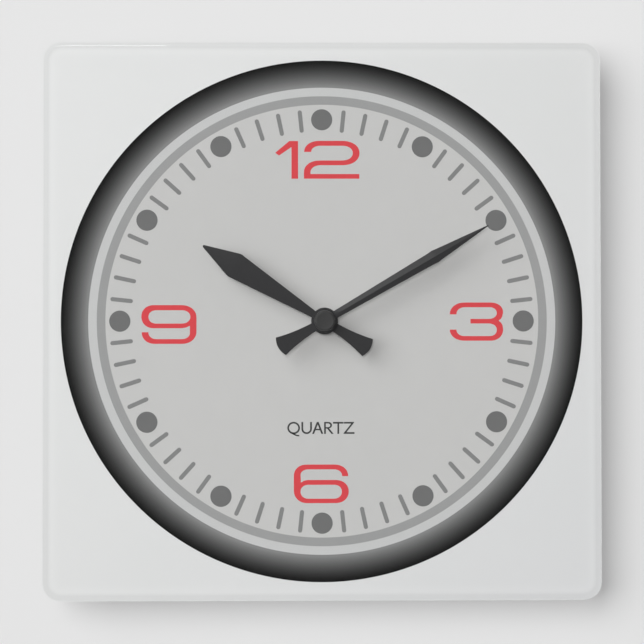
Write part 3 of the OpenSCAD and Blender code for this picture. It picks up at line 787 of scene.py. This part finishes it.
def hand_blade(profile, y_rear, angle, e, fold):
    """Folded sheet-metal blade: a ridge runs down its middle and the edges are eased."""
    bm = bmesh.new()
    full = math.tan(math.radians(fold))
    a = math.radians(angle)
    ux, uz = math.sin(a), math.cos(a)
    vx, vz = math.cos(a), -math.sin(a)
    rings = []
    for s, w in profile:
        # the tail is flat; the fold grows out of the hub
        k = full * min(1.0, max(0.0, (s - 2.0) / 6.0))
        b = min(0.12, w * 0.35)
        sec = [(-w, 0.0), (-w, e - b), (-w + b, e + b * k), (0, e + w * k), (w - b, e + b * k), (w, e - b), (w, 0.0), (0, w * k)]
        rings.append([bm.verts.new(co(ux * s + vx * u, y_rear - v, uz * s + vz * u)) for u, v in sec])
    for p, q in zip(rings[:-1], rings[1:]):
        for i in range(8):
            j = (i + 1) % 8
            bm.faces.new((p[i], p[j], q[j], q[i]))
    for r in (rings[0], rings[-1]):
        bm.faces.new((r[0], r[1], r[2], r[3], r[7]))
        bm.faces.new((r[7], r[3], r[4], r[5], r[6]))
    return bm


def hub(r, y_front, y_rear, collet_r, collet_rear, bore):
    """Flat hub disc with an eased rim and its collet, and the bore to cut."""
    bm = bmesh.new()
    e = 0.16
    prof = [(0, y_front), (r - e, y_front), (r - e * 0.3, y_front + e * 0.3), (r, y_front + e), (r, y_rear - 0.1), (r - 0.1, y_rear),
            (collet_r, y_rear), (collet_r, collet_rear - 0.15), (collet_r - 0.15, collet_rear), (0, collet_rear)]
    lathe(bm, prof, n=128)
    cut = bmesh.new()
    lathe(cut, [(0, y_front - 3), (bore, y_front - 3), (bore, collet_rear + 3), (0, collet_rear + 3)], n=96)
    return bm, cut


hour_lo, hour_hi = mm_box("hour_hand")
minute_lo, minute_hi = mm_box("minute_hand")
cap_lo, cap_hi = mm_box("hand_cap")
Y_HOUR, Y_MINUTE, Y_CAP = hour_lo[1], minute_lo[1], cap_lo[1]
HOUR_ANGLE, MINUTE_ANGLE = 301.8, 59.8

blade = hand_blade(hand_profile(69.6, 6.28, 50.8, 1.78, 0.62), Y_HOUR + 0.5, HOUR_ANGLE, 0.42, 3.0)
disc, bore = hub(6.5, Y_HOUR - 0.25, Y_HOUR + 0.5, 3.4, Y_HOUR + 1.1, 2.57)
hour = finish_mesh(joined([blade, disc], [bore]), "hour_hand_blade", LOOK["hand_black"], "hour_work", smooth=14, weighted=True)
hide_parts("hour_hand")

blade = hand_blade(hand_profile(92.3, 3.24, 61.8, 1.88, 0.27), Y_MINUTE + 0.5, MINUTE_ANGLE, 0.42, 11.0)
disc, bore = hub(5.9, Y_MINUTE - 0.1, Y_MINUTE + 0.5, 2.7, Y_MINUTE + 1.4, 1.62)
minute = finish_mesh(joined([blade, disc], [bore]), "minute_hand_blade", LOOK["hand_black"], "minute_work", smooth=14, weighted=True)
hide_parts("minute_hand")

# Cap over the minute hand's nose: a shallow dished face, a soft shoulder and a short skirt
bm = bmesh.new()
R = 5.1
prof = [(0, Y_CAP + 0.16)]
for i in range(1, 9):
    t = i / 8
    prof.append((3.55 * t, Y_CAP + 0.16 - 0.1 * t * t))
prof += [(3.75, Y_CAP + 0.035), (3.9, Y_CAP)]
for i in range(1, 13):
    a = math.radians(i * 90 / 12)
    prof.append((3.9 + 1.2 * math.sin(a), Y_CAP + 1.2 - 1.2 * math.cos(a)))
prof += [(R, Y_CAP + 2.7), (R - 0.2, Y_CAP + 2.9), (1.65, Y_CAP + 2.9), (1.65, Y_CAP + 1.75), (0, Y_CAP + 1.75)]
lathe(bm, prof, n=128)
cap = finish_mesh(bm, "hand_cap_button", LOOK["cap_black"], "minute_work", smooth=30, weighted=True)
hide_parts("hand_cap")


# ---------------------------------------------------------------- movement, nut and cell, with their edges eased

def whole(node):
    """A copy of a CAD node's mesh, with its flat faces whole again."""
    bm = bmesh.new()
    bm.from_mesh(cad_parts[node].data)
    bmesh.ops.remove_doubles(bm, verts=bm.verts[:], dist=2e-6)
    bmesh.ops.dissolve_limit(bm, angle_limit=math.radians(0.6), verts=bm.verts[:], edges=bm.edges[:])
    return bm


def ease(bm, width, keep, angle=40.0, segments=3):
    """Rounds the sharp edges that keep(a, b) picks; a and b are the edge's ends in millimetres."""
    edges = [e for e in bm.edges if len(e.link_faces) == 2 and e.calc_face_angle(0.0) > math.radians(angle)
             and keep(e.verts[0].co / MM, e.verts[1].co / MM)]
    bmesh.ops.bevel(bm, geom=edges, offset=width * MM, offset_type="OFFSET", segments=segments, profile=0.5, affect="EDGES", clamp_overlap=True)
    return bm


def level(a, b, *ys):
    return any(abs(a.y - y) < 0.01 and abs(b.y - y) < 0.01 for y in ys)


def engraved(loops, depth=0.45, y=0.0):
    """Cutter for a mark sunk into a face that looks towards the wall."""
    bm = bmesh.new()
    lofted(bm, [(y + 0.4, loops), (y - depth, loops)])
    return bm


def standing(node, name, bm, body, slot, smooth=32.0):
    obj = finish_mesh(bm, name, LOOK[slot], body, smooth=smooth, weighted=True)
    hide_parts(node)
    return obj


KNOB_LO, KNOB_HI = mm_box("setting_knob")
KX, KZ = (KNOB_LO[0] + KNOB_HI[0]) / 2, (KNOB_LO[2] + KNOB_HI[2]) / 2

cover = ease(whole("movement_rear_cover"), 0.35, lambda a, b: level(a, b, 0.0) and max(abs(a.x), abs(b.x), abs(a.z), abs(b.z)) > 10.5)
arrow = [(KX + 9.0 * math.cos(math.radians(t)), KZ + 9.0 * math.sin(math.radians(t))) for t in range(200, 291, 5)]
arrow += [(KX + 8.3 * math.cos(math.radians(t)), KZ + 8.3 * math.sin(math.radians(t))) for t in range(290, 199, -5)]
tip = math.radians(303)
head = [(KX + r * math.cos(math.radians(t)), KZ + r * math.sin(math.radians(t))) for r, t in ((7.4, 291.5), (9.9, 291.5))]
head.insert(1, (KX + 8.65 * math.cos(tip), KZ + 8.65 * math.sin(tip)))
plus = [(21.4, -6.1), (22.6, -6.1), (22.6, -7.3), (23.8, -7.3), (23.8, -8.5), (22.6, -8.5), (22.6, -9.7), (21.4, -9.7), (21.4, -8.5), (20.2, -8.5), (20.2, -7.3), (21.4, -7.3)]
minus = rounded_rect(-23.8, -20.2, -8.5, -7.3, 0.2, 3)
pins = [circle(x, z, 1.3, 32) for x, z in ((-23.5, 12.5), (-4.0, -6.5), (8.5, 25.2), (24.2, -2.5))]
cutters = [engraved([loop]) for loop in (arrow, head, plus, minus)] + [engraved([loop], 0.12) for loop in pins]
cell_outline = [rounded_rect(-17.2, 15.6, -9.4, -6.4, 0.5, 4), rounded_rect(-16.7, 15.1, -8.9, -6.9, 0.3, 4)]
cutters.append(engraved(cell_outline, 0.4))
cutters.append(engraved([rounded_rect(15.9, 17.1, -8.6, -7.2, 0.2, 3)], 0.4))
standing("movement_rear_cover", "movement_cover_shell", joined([cover], cutters), "clock_body", "case_black")

case = ease(whole("movement_front_case"), 0.35,
            lambda a, b: level(a, b, 0.0, -1.5, -16.0) and math.hypot(a.x, a.z) > 12 and not (level(a, b, -1.5) and 27.4 > max(abs(a.x), abs(a.z)))
            or level(a, b, -1.5, -4.0) and min(a.z, b.z) > 28.3)
standing("movement_front_case", "movement_case_shell", case, "clock_body", "case_black")

knob = ease(whole("setting_knob"), 0.14, lambda a, b: level(a, b, -0.4))
standing("setting_knob", "setting_knob_wheel", knob, "knob", "case_black")

nut = ease(whole("dial_nut"), 0.3, lambda a, b: level(a, b, Y_HOUR + 1.75, Y_HOUR + 3.95) and math.hypot(a.x, a.z) > 4.5)
standing("dial_nut", "dial_nut_chamfered", nut, "clock_body", "brass", smooth=20)

washer = ease(whole("dial_washer"), 0.1, lambda a, b: math.hypot(a.x, a.z) > 5)
standing("dial_washer", "dial_washer_eased", washer, "clock_body", "brass")

CAN_LO, CAN_HI = mm_box("battery_can")
can = ease(whole("battery_can"), 0.55, lambda a, b: abs(a.x - b.x) < 0.01, segments=5)
standing("battery_can", "cell_can", can, "cell", "cell_steel")
nub = ease(whole("battery_terminal"), 0.3, lambda a, b: abs(a.x - b.x) < 0.01 and a.x > CAN_HI[0] + 0.1, segments=4)
standing("battery_terminal", "cell_terminal", nub, "cell", "cell_steel")


# ---------------------------------------------------------------- stage

def wall():
    """Plain pale wall just behind the clock, with painted light: its colour grows lighter towards the right to make up
    for the key lamp's falloff. From behind it isn't there, so that the clock's back shows.
    """
    bm = bmesh.new()
    s = 3.0
    vs = [bm.verts.new((x, 0.0005, z)) for x, z in ((-s, -s), (s, -s), (s, s), (-s, s))]
    bm.faces.new(vs)
    mesh = bpy.data.meshes.new("backdrop")
    bm.to_mesh(mesh)
    bm.free()
    g = Graph("wall_look")
    sep = g.add("ShaderNodeSeparateXYZ")
    g.link(g.coord, sep.inputs[0])
    # painted light: the wall's colour is 4.5 percent lighter at the right than at the left, where the key lamp falls
    # off
    even = g.ramp(g.range(sep.outputs["X"], 0.0, 1.0, -0.17, 0.17), [(0.0, WALL + (1.0,)), (1.0, tuple(v * 1.045 for v in WALL) + (1.0,))])
    fine = g.ramp(g.noise(40.0, 4.0), [(0.3, (0.996, 0.996, 0.996, 1)), (0.7, (1, 1, 1, 1))])
    m = g.add("ShaderNodeMix", data_type="RGBA", blend_type="MULTIPLY")
    m.inputs["Factor"].default_value = 1.0
    g.link(even, [i for i in m.inputs if i.name == "A" and i.type == "RGBA"][0])
    g.link(fine, [i for i in m.inputs if i.name == "B" and i.type == "RGBA"][0])
    g.link([o for o in m.outputs if o.type == "RGBA"][0], g.bsdf.inputs["Base Color"])
    g.link(g.range(g.noise(300.0), 0.85, 0.95), g.bsdf.inputs["Roughness"])
    g.bsdf.inputs["Specular IOR Level"].default_value = 0.1
    clear = g.add("ShaderNodeBsdfTransparent")
    geo = g.add("ShaderNodeNewGeometry")
    mix = g.add("ShaderNodeMixShader")
    g.link(geo.outputs["Backfacing"], mix.inputs[0])
    g.link(g.bsdf.outputs[0], mix.inputs[1])
    g.link(clear.outputs[0], mix.inputs[2])
    g.link(mix.outputs[0], g.out.inputs["Surface"])
    mesh.materials.append(g.mat)
    o = bpy.data.objects.new("backdrop", mesh)
    SCENE.collection.objects.link(o)
    o.visible_shadow = False
    return o


WALL = (0.812, 0.812, 0.812)
wall()


def lamp(name, kind, energy, at=None, size=None, toward=(0, 0, 0), angle=None, glossy=True, diffuse=True, colour=(1, 1, 1)):
    data = bpy.data.lights.new(name, kind)
    data.energy = energy
    data.color = colour
    if kind == "AREA":
        data.shape = "RECTANGLE"
        data.size, data.size_y = size
    if angle is not None:
        data.angle = math.radians(angle)
    o = bpy.data.objects.new(name, data)
    SCENE.collection.objects.link(o)
    o.location = at
    o.rotation_euler = (Vector(toward) - Vector(at)).to_track_quat("-Z", "Y").to_euler()
    o.visible_glossy = glossy
    o.visible_transmission = glossy
    o.visible_diffuse = diffuse
    return o


lamp("front_fill", "SUN", 1.1, at=(-0.12, -2.0, 0.1), angle=9.0, glossy=False)
lamp("key", "AREA", 176.0, at=(-2.76, -3.54, 1.3), size=(4.2, 4.6), glossy=False)
lamp("accent", "AREA", 0.55, at=(-0.18, -1.0, 0.375), size=(0.12, 0.12), diffuse=False)
lamp("rear_left", "AREA", 22.0, at=(-0.9, 1.3, 0.8), size=(1.0, 1.0))
lamp("rear_right", "AREA", 12.0, at=(1.1, 1.2, 0.3), size=(0.7, 0.7))

world = bpy.data.worlds.new("studio")
world.use_nodes = True
nt = world.node_tree
nt.nodes.clear()
w_out = nt.nodes.new("ShaderNodeOutputWorld")
dim = nt.nodes.new("ShaderNodeBackground")
dim.inputs[0].default_value = (1, 1, 1, 1)
dim.inputs[1].default_value = 0.12
pale = nt.nodes.new("ShaderNodeBackground")
pale.inputs[0].default_value = (0.82, 0.82, 0.82, 1)
pale.inputs[1].default_value = 1.0
path = nt.nodes.new("ShaderNodeLightPath")
either = nt.nodes.new("ShaderNodeMath")
either.operation = "MAXIMUM"
w_mix = nt.nodes.new("ShaderNodeMixShader")
nt.links.new(path.outputs["Is Camera Ray"], either.inputs[0])
nt.links.new(path.outputs["Is Transmission Ray"], either.inputs[1])
nt.links.new(either.outputs[0], w_mix.inputs[0])
nt.links.new(dim.outputs[0], w_mix.inputs[1])
nt.links.new(pale.outputs[0], w_mix.inputs[2])
nt.links.new(w_mix.outputs[0], w_out.inputs[0])
SCENE.world = world

SCENE.view_settings.view_transform = "Standard"
SCENE.view_settings.look = "None"
